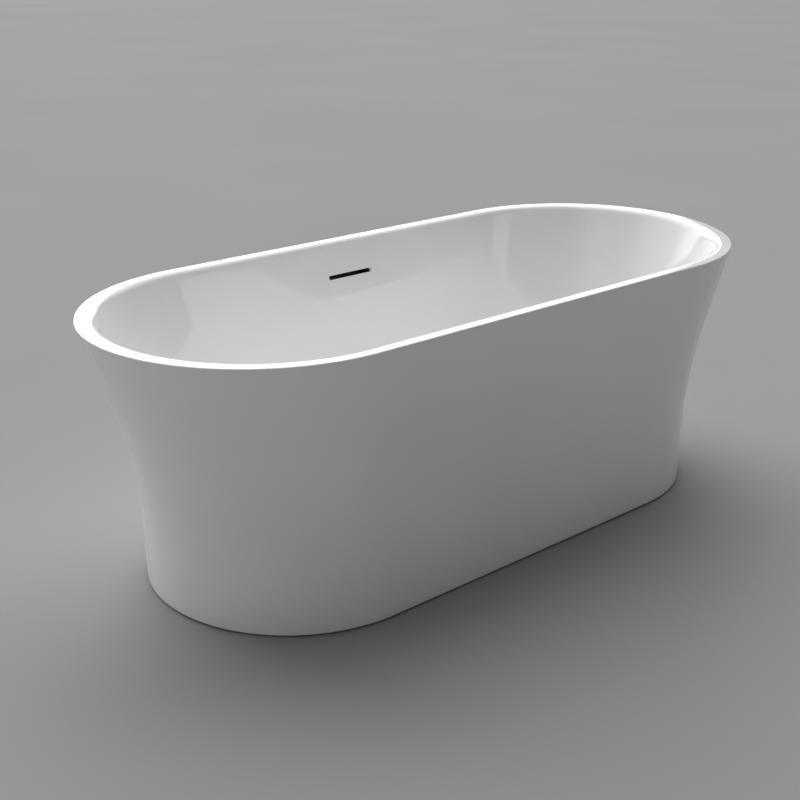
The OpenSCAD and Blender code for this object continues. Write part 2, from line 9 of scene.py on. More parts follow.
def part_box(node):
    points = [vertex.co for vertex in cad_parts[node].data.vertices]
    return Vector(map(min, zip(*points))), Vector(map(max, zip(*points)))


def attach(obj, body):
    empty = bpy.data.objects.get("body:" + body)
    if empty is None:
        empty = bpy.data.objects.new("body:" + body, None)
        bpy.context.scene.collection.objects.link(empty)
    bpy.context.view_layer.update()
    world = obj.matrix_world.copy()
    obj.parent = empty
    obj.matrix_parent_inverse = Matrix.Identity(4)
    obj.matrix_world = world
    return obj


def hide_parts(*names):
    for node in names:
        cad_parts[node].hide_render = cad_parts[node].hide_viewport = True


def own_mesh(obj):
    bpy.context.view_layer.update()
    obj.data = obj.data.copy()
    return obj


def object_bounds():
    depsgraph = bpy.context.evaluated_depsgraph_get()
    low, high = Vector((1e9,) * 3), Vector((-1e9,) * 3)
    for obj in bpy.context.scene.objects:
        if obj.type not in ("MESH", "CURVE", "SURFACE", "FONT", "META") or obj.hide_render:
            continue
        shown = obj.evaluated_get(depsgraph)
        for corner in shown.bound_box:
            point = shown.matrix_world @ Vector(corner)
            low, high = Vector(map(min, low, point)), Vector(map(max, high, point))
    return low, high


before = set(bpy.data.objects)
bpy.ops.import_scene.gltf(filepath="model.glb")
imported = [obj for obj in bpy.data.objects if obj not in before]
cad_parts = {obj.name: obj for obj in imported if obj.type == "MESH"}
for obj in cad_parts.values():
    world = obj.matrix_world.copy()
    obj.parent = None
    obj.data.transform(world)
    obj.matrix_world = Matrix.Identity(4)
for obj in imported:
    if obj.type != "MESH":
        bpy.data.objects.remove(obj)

cad_low, cad_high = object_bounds()

# ---- Sizes that the design and this scene share, in metres ----

BATH_LENGTH = cad_high.x - cad_low.x
BATH_WIDTH = 0.750
BATH_HEIGHT = cad_high.z - cad_low.z
SKIRT_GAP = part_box("outer_skirt")[0].z
JOINT_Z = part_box("outer_skirt")[1].z
END_FLARE = 0.110
SIDE_FLARE = 0.039
UPRIGHT_HEIGHT = 0.134
LEAN_HEIGHT = 0.162
SKIRT_WALL = 0.005
FLOOR_HEIGHT = 0.150
BASIN_WALL = 0.007
END_WALL_LEAN = 0.205
SIDE_WALL_LEAN = 0.126
END_BLEND = 0.110
SIDE_BLEND = 0.046
BLEND_RISE = 0.120
RIM_SIDE_WIDTH = 0.034
RIM_END_WIDTH = 0.0405
RIM_OUTER_ROUND = 0.004
RIM_INNER_ROUND = 0.015
SLOT_LENGTH = 0.130
SLOT_HEIGHT = 0.010
SLOT_DROP = 0.082
DRAIN_HOLE_RADIUS = 0.026
RECESS_RADIUS = 0.0365
RECESS_DEPTH = 0.003

# ---- Camera ----

CAMERA_AZIMUTH = math.radians(-40.22)
CAMERA_ELEVATION = math.radians(21.29)
CAMERA_DISTANCE = 2.906
CAMERA_LENS = 55.2
CAMERA_SENSOR = 36.0
# The point that the camera looks at, from the middle of the bath's foot
CAMERA_AIM = Vector((-0.0626, 0.0529, 0.2764))


def add_camera():
    foot = Vector(((cad_low.x + cad_high.x) / 2, (cad_low.y + cad_high.y) / 2, cad_low.z))
    level = math.cos(CAMERA_ELEVATION)
    back = Vector((
        math.sin(CAMERA_AZIMUTH) * level,
        -math.cos(CAMERA_AZIMUTH) * level,
        math.sin(CAMERA_ELEVATION),
    ))
    data = bpy.data.cameras.new("camera")
    data.sensor_width = CAMERA_SENSOR
    data.lens = CAMERA_LENS
    data.clip_end = 200
    camera = bpy.data.objects.new("camera", data)
    camera.location = foot + CAMERA_AIM + back * CAMERA_DISTANCE
    camera.rotation_euler = back.to_track_quat("Z", "Y").to_euler()
    bpy.context.scene.collection.objects.link(camera)
    bpy.context.scene.camera = camera


# ---- Material helpers ----

def new_material(name):
    material = bpy.data.materials.new(name)
    material.use_nodes = True
    tree = material.node_tree
    return material, tree, tree.nodes["Principled BSDF"]


def add_node(tree, kind, **inputs):
    node = tree.nodes.new(kind)
    for key, value in inputs.items():
        node.inputs[key.replace("_", " ")].default_value = value
    return node


def object_coordinates(tree, stretch=(1, 1, 1)):
    where = tree.nodes.new("ShaderNodeTexCoord")
    mapping = tree.nodes.new("ShaderNodeMapping")
    mapping.inputs["Scale"].default_value = stretch
    tree.links.new(where.outputs["Object"], mapping.inputs["Vector"])
    return mapping.outputs["Vector"]


def noise(tree, vector, scale, detail=3.0, roughness=0.5):
    node = add_node(tree, "ShaderNodeTexNoise", Scale=scale, Detail=detail, Roughness=roughness)
    tree.links.new(vector, node.inputs["Vector"])
    return node.outputs["Fac"]


def between(tree, factor, low, high):
    """A number that runs from low to high as factor runs from 0 to 1."""
    node = tree.nodes.new("ShaderNodeMapRange")
    node.inputs["To Min"].default_value = low
    node.inputs["To Max"].default_value = high
    tree.links.new(factor, node.inputs["Value"])
    return node.outputs["Result"]


def tint(tree, factor, low, high, start=0.0, end=1.0):
    """A colour that runs from low to high as factor runs from start to end."""
    ramp = tree.nodes.new("ShaderNodeValToRGB")
    ramp.color_ramp.elements[0].position = start
    ramp.color_ramp.elements[0].color = (*low, 1)
    ramp.color_ramp.elements[1].position = end
    ramp.color_ramp.elements[1].color = (*high, 1)
    tree.links.new(factor, ramp.inputs["Fac"])
    return ramp.outputs["Color"]


def bump(tree, shader, height, distance, strength=1.0):
    node = add_node(tree, "ShaderNodeBump", Strength=strength, Distance=distance)
    tree.links.new(height, node.inputs["Height"])
    tree.links.new(node.outputs["Normal"], shader.inputs["Normal"])


# ---- Materials ----

def acrylic():
    """Polished white acrylic: nearly even, faintly cloudy, with the slight waviness of a formed sheet."""
    material, tree, shader = new_material("white_acrylic")
    vector = object_coordinates(tree)
    cloud = noise(tree, vector, 3.0)
    tree.links.new(tint(tree, cloud, (0.92, 0.92, 0.92), (0.95, 0.95, 0.95), 0.35, 0.65),
                   shader.inputs["Base Color"])
    tree.links.new(between(tree, noise(tree, vector, 14.0, 5.0), 0.012, 0.030), shader.inputs["Roughness"])
    shader.inputs["IOR"].default_value = 1.49
    bump(tree, shader, noise(tree, vector, 5.0, 0.0), 0.0004, 0.2)
    return material


def glass_fibre():
    """Chopped strand mat in pale resin: short pale strands, wet gloss between them, and a lumpy surface."""
    material, tree, shader = new_material("glass_fibre")
    vector = object_coordinates(tree)
    strands = noise(tree, object_coordinates(tree, (1, 1, 0.25)), 260.0, 6.0, 0.7)
    tree.links.new(tint(tree, strands, (0.42, 0.40, 0.30), (0.78, 0.76, 0.64), 0.35, 0.65),
                   shader.inputs["Base Color"])
    tree.links.new(between(tree, noise(tree, vector, 45.0), 0.25, 0.6), shader.inputs["Roughness"])
    bump(tree, shader, strands, 0.0006, 0.8)
    return material


def plywood():
    """Birch plywood: fine grain along X, slow changes of tone, and thin layers that show on the edges."""
    material, tree, shader = new_material("plywood")
    grain = noise(tree, object_coordinates(tree, (0.06, 1, 1)), 180.0, 6.0, 0.6)
    layers = tree.nodes.new("ShaderNodeTexWave")
    layers.bands_direction = "Z"
    layers.inputs["Scale"].default_value = 105.0
    layers.inputs["Distortion"].default_value = 0.6
    tree.links.new(object_coordinates(tree), layers.inputs["Vector"])
    mix = tree.nodes.new("ShaderNodeMix")
    mix.data_type = "RGBA"
    mix.inputs["Factor"].default_value = 0.35
    tree.links.new(tint(tree, grain, (0.46, 0.31, 0.17), (0.68, 0.52, 0.33), 0.3, 0.7), mix.inputs["A"])
    tree.links.new(tint(tree, layers.outputs["Fac"], (0.36, 0.23, 0.12), (0.70, 0.55, 0.36)), mix.inputs["B"])
    tree.links.new(mix.outputs["Result"], shader.inputs["Base Color"])
    tree.links.new(between(tree, grain, 0.55, 0.8), shader.inputs["Roughness"])
    bump(tree, shader, grain, 0.0002, 0.6)
    return material


def zinc_steel():
    """Galvanised steel: the patchy crystals of zinc, each with its own grey and gloss."""
    material, tree, shader = new_material("zinc_steel")
    cells = add_node(tree, "ShaderNodeTexVoronoi", Scale=140.0)
    tree.links.new(object_coordinates(tree), cells.inputs["Vector"])
    spangle = tree.nodes.new("ShaderNodeSeparateColor")
    tree.links.new(cells.outputs["Color"], spangle.inputs["Color"])
    tree.links.new(tint(tree, spangle.outputs["Red"], (0.42, 0.44, 0.46), (0.62, 0.64, 0.66)),
                   shader.inputs["Base Color"])
    tree.links.new(between(tree, spangle.outputs["Green"], 0.32, 0.55), shader.inputs["Roughness"])
    shader.inputs["Metallic"].default_value = 1.0
    bump(tree, shader, noise(tree, object_coordinates(tree), 300.0), 0.00005, 0.5)
    return material


def bright_steel():
    """Bright zinc-plated steel, with fine turning marks and dull specks."""
    material, tree, shader = new_material("bright_steel")
    marks = noise(tree, object_coordinates(tree, (1, 1, 8)), 240.0, 4.0, 0.6)
    specks = noise(tree, object_coordinates(tree), 120.0, 2.0)
    tree.links.new(tint(tree, specks, (0.58, 0.58, 0.57), (0.76, 0.76, 0.75), 0.3, 0.6),
                   shader.inputs["Base Color"])
    tree.links.new(between(tree, marks, 0.18, 0.36), shader.inputs["Roughness"])
    shader.inputs["Metallic"].default_value = 1.0
    bump(tree, shader, marks, 0.00003, 0.5)
    return material


def chrome():
    """Polished chrome: almost a mirror, with a faint haze of wiped water marks."""
    material, tree, shader = new_material("chrome")
    haze = noise(tree, object_coordinates(tree), 60.0, 4.0, 0.6)
    tree.links.new(tint(tree, haze, (0.74, 0.75, 0.76), (0.82, 0.82, 0.83), 0.3, 0.7),
                   shader.inputs["Base Color"])
    tree.links.new(between(tree, haze, 0.03, 0.10), shader.inputs["Roughness"])
    shader.inputs["Metallic"].default_value = 1.0
    bump(tree, shader, noise(tree, object_coordinates(tree), 35.0, 0.0), 0.00002, 0.3)
    return material


def moulded(name, dark, light, low_gloss, high_gloss, grain_scale, grain_depth):
    """A moulded rubber or plastic: near-even colour, fine mould grain, and patches of scuffed gloss."""
    material, tree, shader = new_material(name)
    vector = object_coordinates(tree)
    patches = noise(tree, vector, 25.0, 4.0)
    grain = noise(tree, vector, grain_scale, 2.0)
    tree.links.new(tint(tree, patches, dark, light, 0.3, 0.7), shader.inputs["Base Color"])
    tree.links.new(between(tree, patches, low_gloss, high_gloss), shader.inputs["Roughness"])
    bump(tree, shader, grain, grain_depth, 0.6)
    return material


def all_materials():
    return {
        "white_acrylic": acrylic(),
        "glass_fibre": glass_fibre(),
        "plywood": plywood(),
        "zinc_steel": zinc_steel(),
        "bright_steel": bright_steel(),
        "chrome": chrome(),
        "black_rubber": moulded("black_rubber", (0.014, 0.014, 0.014), (0.030, 0.030, 0.030), 0.6, 0.85,
                                1400.0, 0.00006),
        "black_plastic": moulded("black_plastic", (0.012, 0.012, 0.013), (0.024, 0.024, 0.026), 0.35, 0.55,
                                 1100.0, 0.00004),
        "grey_plastic": moulded("grey_plastic", (0.30, 0.31, 0.32), (0.38, 0.39, 0.40), 0.35, 0.5,
                                900.0, 0.00004),
    }


# ---- Mesh helpers ----

ARC_STEPS = 96      # steps around each round end
SIDE_STEPS = 12     # steps along each straight side


def stadium(half_length, half_width, z):
    """Points around two half circles joined by straight sides."""
    straight = half_length - half_width
    points = []
    for side in (1, -1):
        for k in range(ARC_STEPS + 1):
            angle = (k / ARC_STEPS - 0.5) * math.pi
            points.append((
                side * (straight + half_width * math.cos(angle)),
                side * half_width * math.sin(angle),
                z,
            ))
        for k in range(1, SIDE_STEPS):
            x = side * straight * (1 - 2 * k / SIDE_STEPS)
            points.append((x, side * half_width, z))
    return points


def loft(name, rings, closed=False):
    """A mesh through rings of points. A closed one joins its last ring to its first; an open one has caps."""
    count = len(rings[0])
    points = [p for ring in rings for p in ring]
    faces = []
    for i in range(len(rings) if closed else len(rings) - 1):
        a = i * count
        b = (i + 1) % len(rings) * count
        for j in range(count):
            k = (j + 1) % count
            faces.append((a + j, a + k, b + k, b + j))
    if not closed:
        faces.append(tuple(reversed(range(count))))
        faces.append(tuple((len(rings) - 1) * count + j for j in range(count)))
    mesh = bpy.data.meshes.new(name)
    mesh.from_pydata(points, [], faces)
    mesh.validate()
    return mesh


SHARP = math.radians(35)


def finish_mesh(mesh):
    """Outward normals, smooth shading, and sharp edges only where the shape has a corner."""
    work = bmesh.new()
    work.from_mesh(mesh)
    bmesh.ops.recalc_face_normals(work, faces=work.faces)
    work.to_mesh(mesh)
    work.free()
    mesh.shade_smooth()
    mesh.set_sharp_from_angle(angle=SHARP)


def add_object(name, mesh, material):
    made = bpy.data.objects.new(name, mesh)
    bpy.context.scene.collection.objects.link(made)
    mesh.materials.clear()
    mesh.materials.append(material)
    return made


def back_with(piece, material, ring_size, first, last):
    """Gives the hidden faces between two rings of a loft the laminate that backs the acrylic."""
    piece.data.materials.append(material)
    for face in piece.data.polygons[first * ring_size:last * ring_size]:
        face.material_index = 1


def cut(target, cutter):
    """Takes cutter's solid out of target's, and removes cutter."""
    modifier = target.modifiers.new("cut", "BOOLEAN")
    modifier.operation = "DIFFERENCE"
    modifier.solver = "EXACT"
    modifier.object = cutter
    bpy.context.view_layer.update()
    depsgraph = bpy.context.evaluated_depsgraph_get()
    mesh = bpy.data.meshes.new_from_object(target.evaluated_get(depsgraph))
    target.modifiers.clear()
    target.data = mesh
    bpy.data.objects.remove(cutter)


def cylinder_cutter(radius, low, high, sides=96):
    mesh = bpy.data.meshes.new("cutter")
    work = bmesh.new()
    bmesh.ops.create_cone(work, cap_ends=True, segments=sides, radius1=radius, radius2=radius,
                          depth=high - low, matrix=Matrix.Translation((0, 0, (low + high) / 2)))
    work.to_mesh(mesh)
    work.free()
    made = bpy.data.objects.new("cutter", mesh)
    bpy.context.scene.collection.objects.link(made)
    return made


def box_cutter(size, matrix):
    mesh = bpy.data.meshes.new("cutter")
    work = bmesh.new()
    bmesh.ops.create_cube(work, size=1, matrix=matrix @ Matrix.Diagonal((*size, 1)))
    work.to_mesh(mesh)
    work.free()
    made = bpy.data.objects.new("cutter", mesh)
    bpy.context.scene.collection.objects.link(made)
    return made


# ---- The bath's outlines, as in the design ----

CURVE_START = UPRIGHT_HEIGHT
CURVE_END = BATH_HEIGHT - LEAN_HEIGHT
LEAN_RATE = 1 / ((CURVE_END - CURVE_START) / 2 + LEAN_HEIGHT)
FLARES = (END_FLARE, SIDE_FLARE)
SKIRT_SLOPES = [flare * LEAN_RATE for flare in FLARES]
RIM_HALF = [size / 2 + RIM_OUTER_ROUND * slope / (1 + slope)
            for size, slope in zip((BATH_LENGTH, BATH_WIDTH), SKIRT_SLOPES)]
FOOT_HALF = [rim - flare for rim, flare in zip(RIM_HALF, FLARES)]
BASIN_DEPTH = BATH_HEIGHT - FLOOR_HEIGHT
INNER_RIM = (BATH_LENGTH / 2 - RIM_END_WIDTH, BATH_WIDTH / 2 - RIM_SIDE_WIDTH)
WALL_SLOPES = (END_WALL_LEAN / BASIN_DEPTH, SIDE_WALL_LEAN / BASIN_DEPTH)
BLENDS = (END_BLEND, SIDE_BLEND)
FLOOR_CORNER = (INNER_RIM[0] - END_WALL_LEAN, INNER_RIM[1] - SIDE_WALL_LEAN)
SIDE_ANGLE = math.atan(WALL_SLOPES[1])
SLOT_Z = BATH_HEIGHT - SLOT_DROP


def flare_at(z):
    """Share of the flare that the skirt has reached at height z."""
    if z <= CURVE_START:
        return 0.0
    if z < CURVE_END:
        return LEAN_RATE * (z - CURVE_START) ** 2 / (2 * (CURVE_END - CURVE_START))
    return LEAN_RATE * ((CURVE_END - CURVE_START) / 2 + z - CURVE_END)


def skirt_ring(z, inset=0.0):
    share = flare_at(z)
    return stadium(*(foot + flare * share - inset for foot, flare in zip(FOOT_HALF, FLARES)), z)


def plane_z(outer):
    """Height of the basin's floor, on its inner or its outer face."""
    return FLOOR_HEIGHT - (BASIN_WALL if outer else 0)


def wall_foot(i, outer):
    """Where the basin's straight walls would meet its floor, on its inner or its outer face."""
    slope = WALL_SLOPES[i]
    return FLOOR_CORNER[i] + (BASIN_WALL * (math.sqrt(1 + slope ** 2) - slope) if outer else 0)


def wall_ring(z, outer):
    height = z - plane_z(outer)
    return stadium(*(wall_foot(i, outer) + WALL_SLOPES[i] * height for i in (0, 1)), z)


def blend_ring(t, outer):
    """A ring of the curve from the flat floor, at t = 0, to the straight walls, at t = 1."""
    half = [wall_foot(i, outer) - BLENDS[i] * (1 - t) ** 2 + WALL_SLOPES[i] * BLEND_RISE * t ** 2
            for i in (0, 1)]
    return stadium(*half, plane_z(outer) + BLEND_RISE * t ** 2)


def edge_ring(t, corner, slopes, radius, turn):
    """A ring of a rim edge, from its wall at t = 0 to the flat top at t = 1."""
    half = [corner[i] - slopes[i] * radius * (1 - t) ** 2 + turn * radius * t ** 2 for i in (0, 1)]
    return stadium(*half, BATH_HEIGHT - radius * (1 - t) ** 2)


def steps(count, start=0.0, end=1.0):
    """count + 1 even values from start to end."""
    return [start + (end - start) * k / count for k in range(count + 1)]


# ---- Skirt and basin ----

SKIRT_EDGE = 0.0015    # rounding of the skirt's lower edges


def make_skirt(materials):
    low = SKIRT_GAP + SKIRT_EDGE
    heights = steps(6, low, CURVE_START)[:-1] + steps(40, CURVE_START, CURVE_END)[:-1]
    heights += steps(10, CURVE_END, JOINT_Z)
    outside = [skirt_ring(z) for z in heights]
    inside = [skirt_ring(z, SKIRT_WALL) for z in reversed(heights)]
    turn = steps(6, 0, math.pi / 2)
    inner_edge = [skirt_ring(low - SKIRT_EDGE * math.sin(a), SKIRT_WALL - SKIRT_EDGE * (1 - math.cos(a)))
                  for a in turn[1:]]
    outer_edge = [skirt_ring(low - SKIRT_EDGE * math.sin(a), SKIRT_EDGE * (1 - math.cos(a)))
                  for a in reversed(turn[1:])]
    mesh = loft("skirt_shell", outside + inside + inner_edge + outer_edge, closed=True)
    skirt = add_object("skirt_shell", mesh, materials["white_acrylic"])
    back_with(skirt, materials["glass_fibre"], len(outside[0]), len(outside), len(outside) + len(inside) - 1)
    finish_mesh(mesh)
    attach(skirt, "bath")
    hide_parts("outer_skirt")


def slot_matrix():
    """The frame of the rear wall at the overflow slot: its inner face is y = 0, and +Z runs up the wall."""
    y = wall_foot(1, False) + WALL_SLOPES[1] * (SLOT_Z - FLOOR_HEIGHT)
    return Matrix.Translation((0, y, SLOT_Z)) @ Matrix.Rotation(-SIDE_ANGLE, 4, "X")


def make_basin(materials):
    under_top = BATH_HEIGHT - BASIN_WALL
    wall_low = FLOOR_HEIGHT + BLEND_RISE
    rings = [blend_ring(t, True) for t in steps(16)]
    rings += [wall_ring(z, True) for z in steps(8, wall_low, under_top)[1:]]
    rings += [skirt_ring(under_top, SKIRT_WALL), skirt_ring(JOINT_Z, SKIRT_WALL)]
    hidden = len(rings) - 1
    rings += [skirt_ring(z) for z in steps(3, JOINT_Z, BATH_HEIGHT - RIM_OUTER_ROUND)[:-1]]
    rings += [edge_ring(t, RIM_HALF, SKIRT_SLOPES, RIM_OUTER_ROUND, -1) for t in steps(12)]
    rings += [edge_ring(t, INNER_RIM, WALL_SLOPES, RIM_INNER_ROUND, 1) for t in steps(16, 1, 0)]
    rings += [wall_ring(z, False) for z in steps(24, BATH_HEIGHT - RIM_INNER_ROUND, wall_low)[1:-1]]
    rings += [blend_ring(t, False) for t in steps(32, 1, 0)]
    mesh = loft("basin_shell", rings)
    basin = add_object("basin_shell", mesh, materials["white_acrylic"])
    back_with(basin, materials["glass_fibre"], len(rings[0]), 0, hidden)
    basin.data.polygons[len(rings[0]) * (len(rings) - 1)].material_index = 1
    through = 4 * BASIN_WALL
    cut(basin, box_cutter((SLOT_LENGTH, through, SLOT_HEIGHT), slot_matrix()))
    cut(basin, cylinder_cutter(DRAIN_HOLE_RADIUS, FLOOR_HEIGHT - through, FLOOR_HEIGHT + through))
    cut(basin, cylinder_cutter(RECESS_RADIUS, FLOOR_HEIGHT - RECESS_DEPTH, FLOOR_HEIGHT + through))
    finish_mesh(basin.data)
    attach(basin, "bath")
    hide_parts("basin")


# ---- Hidden fittings ----

TURN = 2 * math.pi
AXIS_RADIUS = 0.0002   # how near to the axis a spindle's outline starts and ends


def around(radius, z, count):
    """count points on a circle around Z."""
    angles = [TURN * k / count for k in range(count)]
    return [(radius * math.cos(a), radius * math.sin(a), z) for a in angles]


def lathe(name, profile, count=96):
    """A ring-shaped solid: a closed outline of (radius, height) points turned around Z."""
    circles = [around(r, z, count) for r, z in profile]
    rings = [[circle[k] for circle in circles] for k in range(count)]
    return loft(name, rings, closed=True)


def spindle(name, profile, count=96):
    """A solid with no hole: an outline of (radius, height) points from one end of its axis to the other."""
    return loft(name, [around(r, z, count) for r, z in profile])


def quarter(centre, radius, start, end, count=6):
    """Points on a quarter round of an outline. Angles are in degrees, from the radial direction."""
    angles = steps(count, math.radians(start), math.radians(end))
    return [(centre[0] + radius * math.cos(a), centre[1] + radius * math.sin(a)) for a in angles]


def place(name, mesh, materials, slot, body, node, at=(0, 0, 0)):
    """Finishes a mesh as the piece that stands for a CAD node and rides on its body."""
    mesh.transform(Matrix.Translation(at))
    finish_mesh(mesh)
    piece = add_object(name, mesh, materials[slot])
    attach(piece, body)
    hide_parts(node)
    return piece


def box_middle(node):
    low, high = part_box(node)
    return (low + high) / 2


# Drain flange, seen as the polished ring round the plug
FLANGE_THICKNESS = 0.003
FLANGE_ROUND = 0.0022
TUBE_BORE = 0.020
TUBE_RADIUS = 0.0224
TUBE_THREAD_PITCH = 0.0025
TUBE_THREAD_DEPTH = 0.0009
HUB_RADIUS = 0.011
HUB_BORE = 0.00728
WEB_WIDTH = 0.003
WEB_HEIGHT = 0.010
WEB_DROP = 0.003            # top of the web under the top of the plug's cartridge
WEB_SPOKES = 4
WEB_OVERLAP = 0.0008        # how far the spokes run into the hub and the tube together
WEB_ROUND = 0.0006
THREAD_START = 0.002        # plain part of the tube, under the flange
THREAD_END = 0.0005         # plain part at the tube's lower end
FLANGE_EDGE = 0.0006        # bevel under the flange's edge
# The flange's dished mouth: radius over the bore, and depth under the flange's top
MOUTH = ((0.0065, 0), (0.006, 0.0002), (0.003, 0.0010), (0.001, 0.0018), (0, 0.0030))
# One turn of the tube's thread: depth as a share of the full depth, and drop as a share of the pitch
THREAD_TURN = ((0, 0), (0, 0.3), (1, 0.55), (1, 0.75))


def flange_outline(low, high):
    outer, top, bottom = high.x, high.z, low.z
    under = top - FLANGE_THICKNESS
    first = under - THREAD_START
    turns = round((first - bottom) / TUBE_THREAD_PITCH)
    thread = [(TUBE_RADIUS - depth * TUBE_THREAD_DEPTH,
               first - k * TUBE_THREAD_PITCH - drop * TUBE_THREAD_PITCH)
              for k in range(turns) for depth, drop in THREAD_TURN]
    outline = quarter((outer - FLANGE_ROUND, top - FLANGE_ROUND), FLANGE_ROUND, 0, 90, 8)
    outline += [(TUBE_BORE + reach, top - depth) for reach, depth in MOUTH]
    outline += [(TUBE_BORE, bottom)]
    outline += [(r, z) for r, z in reversed(thread) if z > bottom + THREAD_END]
    outline += [(TUBE_RADIUS, under), (outer - FLANGE_EDGE, under), (outer, under + FLANGE_EDGE)]
    return outline


def web_spoke(name, k, middle_z):
    spoke = bmesh.new()
    middle = (HUB_RADIUS + TUBE_BORE) / 2
    length = TUBE_BORE - HUB_RADIUS + WEB_OVERLAP
    matrix = (Matrix.Rotation(k * TURN / WEB_SPOKES, 4, "Z") @ Matrix.Translation((middle, 0, middle_z))
              @ Matrix.Diagonal((length, WEB_WIDTH, WEB_HEIGHT, 1)))
    bmesh.ops.create_cube(spoke, size=1, matrix=matrix)
    level_edges = [e for e in spoke.edges if abs(e.verts[0].co.z - e.verts[1].co.z) < 1e-6]
    bmesh.ops.bevel(spoke, geom=level_edges, offset=WEB_ROUND, segments=3, affect="EDGES", profile=0.5)
    mesh = bpy.data.meshes.new(name)
    spoke.to_mesh(mesh)
    spoke.free()
    return mesh


def make_drain_flange(materials):
    ring = lathe("drain_flange_ring", flange_outline(*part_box("drain_flange")))
    place("drain_flange_ring", ring, materials, "chrome", "bath", "drain_flange")
    web_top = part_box("plug_cartridge")[1].z - WEB_DROP
    web_low = web_top - WEB_HEIGHT
    outline = [(HUB_BORE, web_low), (HUB_RADIUS, web_low), (HUB_RADIUS, web_top), (HUB_BORE, web_top)]
    place("drain_flange_hub", lathe("drain_flange_hub", outline, 48), materials, "chrome", "bath",
          "drain_flange")
    for k in range(WEB_SPOKES):
        name = f"drain_flange_spoke_{k + 1}"
        spoke = web_spoke(name, k, web_low + WEB_HEIGHT / 2)
        place(name, spoke, materials, "chrome", "bath", "drain_flange")


# Plug
CAP_DOME = 0.004
CAP_EDGE = 0.002
CAP_EDGE_ROUND = 0.0008
SEAT_HEIGHT = 0.006
SEAT_RADIUS = 0.0183
SEAL_WIRE = 0.0014
SEAL_DROP = 0.0035
STEM_RADIUS = 0.004
SEAT_BEVEL = 0.0005
CAP_EDGE_TURN = 68      # degrees of the upper edge's round before the dome starts
DOME_START = 0.995      # where the dome starts, as a share of the cap's flat radius
DOME_STEPS = 32
CAP_SIDES = 128


def make_plug_cap(materials):
    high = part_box("plug_cap")[1]
    radius = high.x
    base = high.z - CAP_DOME - CAP_EDGE
    seat = base - SEAT_HEIGHT
    seal_z = base - SEAL_DROP
    dome_radius = (radius ** 2 + CAP_DOME ** 2) / (2 * CAP_DOME)
    dome_centre = high.z - dome_radius
    edge = radius - CAP_EDGE_ROUND
    edge_top = base + CAP_EDGE
    groove = SEAT_RADIUS - SEAL_WIRE
    outline = [(AXIS_RADIUS, base), (STEM_RADIUS, base), (STEM_RADIUS, seat)]
    outline += [(SEAT_RADIUS - SEAT_BEVEL, seat), (SEAT_RADIUS, seat + SEAT_BEVEL)]
    outline += [(SEAT_RADIUS, seal_z - SEAL_WIRE), (groove, seal_z - SEAL_WIRE), (groove, seal_z + SEAL_WIRE)]
    outline += [(SEAT_RADIUS, seal_z + SEAL_WIRE), (SEAT_RADIUS, base), (edge, base)]
    outline += quarter((edge, base + CAP_EDGE_ROUND), CAP_EDGE_ROUND, -90, 0)[1:]
    outline += [(edge + CAP_EDGE_ROUND * math.cos(a), edge_top - CAP_EDGE_ROUND * (1 - math.sin(a)))
                for a in steps(5, 0, math.radians(CAP_EDGE_TURN))]
    dome = [edge * DOME_START * (1 - k / DOME_STEPS) for k in range(DOME_STEPS)]
    outline += [(r, dome_centre + math.sqrt(dome_radius ** 2 - r ** 2)) for r in dome]
    outline += [(AXIS_RADIUS, high.z)]
    cap = spindle("plug_cap_polished", outline, CAP_SIDES)
    place("plug_cap_polished", cap, materials, "chrome", "plug", "plug_cap")


# Spring under the plug
SPRING_TURNS = 7
SPRING_WIRE = 0.0005
SPRING_STEPS = 40
WIRE_SIDES = 10


def make_spring(materials):
    low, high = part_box("plug_spring")
    radius = high.x - SPRING_WIRE
    start = low.z + SPRING_WIRE
    rise = high.z - low.z - 2 * SPRING_WIRE
    count = SPRING_TURNS * SPRING_STEPS
    pitch_angle = math.atan(rise / (SPRING_TURNS * TURN * radius))
    rings = []
    for i in range(count + 1):
        a = i * TURN / SPRING_STEPS
        outward = Vector((math.cos(a), math.sin(a), 0))
        along = Vector((-math.sin(a) * math.cos(pitch_angle), math.cos(a) * math.cos(pitch_angle),
                        math.sin(pitch_angle)))
        upward = outward.cross(along)
        centre = outward * radius + Vector((0, 0, start + rise * i / count))
        rings.append([tuple(centre + (outward * math.cos(b) + upward * math.sin(b)) * SPRING_WIRE)
                      for b in (TURN * j / WIRE_SIDES for j in range(WIRE_SIDES))])
    spring = place("plug_spring_coil", loft("plug_spring_coil", rings), materials, "bright_steel", "bath",
                   "plug_spring")
    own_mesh(spring)


# Overflow hose
HOSE_BEND = 0.070
HOSE_WALL = 0.0025
HOSE_CUFF = 0.027
HOSE_RIB_PITCH = 0.0045
HOSE_RIB_DEPTH = 0.0012
HOSE_SIDES = 36
RIB_STEPS = 6           # stations along each rib
HOSE_CLEARANCE = 0.999  # outside as a share of the CAD hose's, so that the ribs stay within it


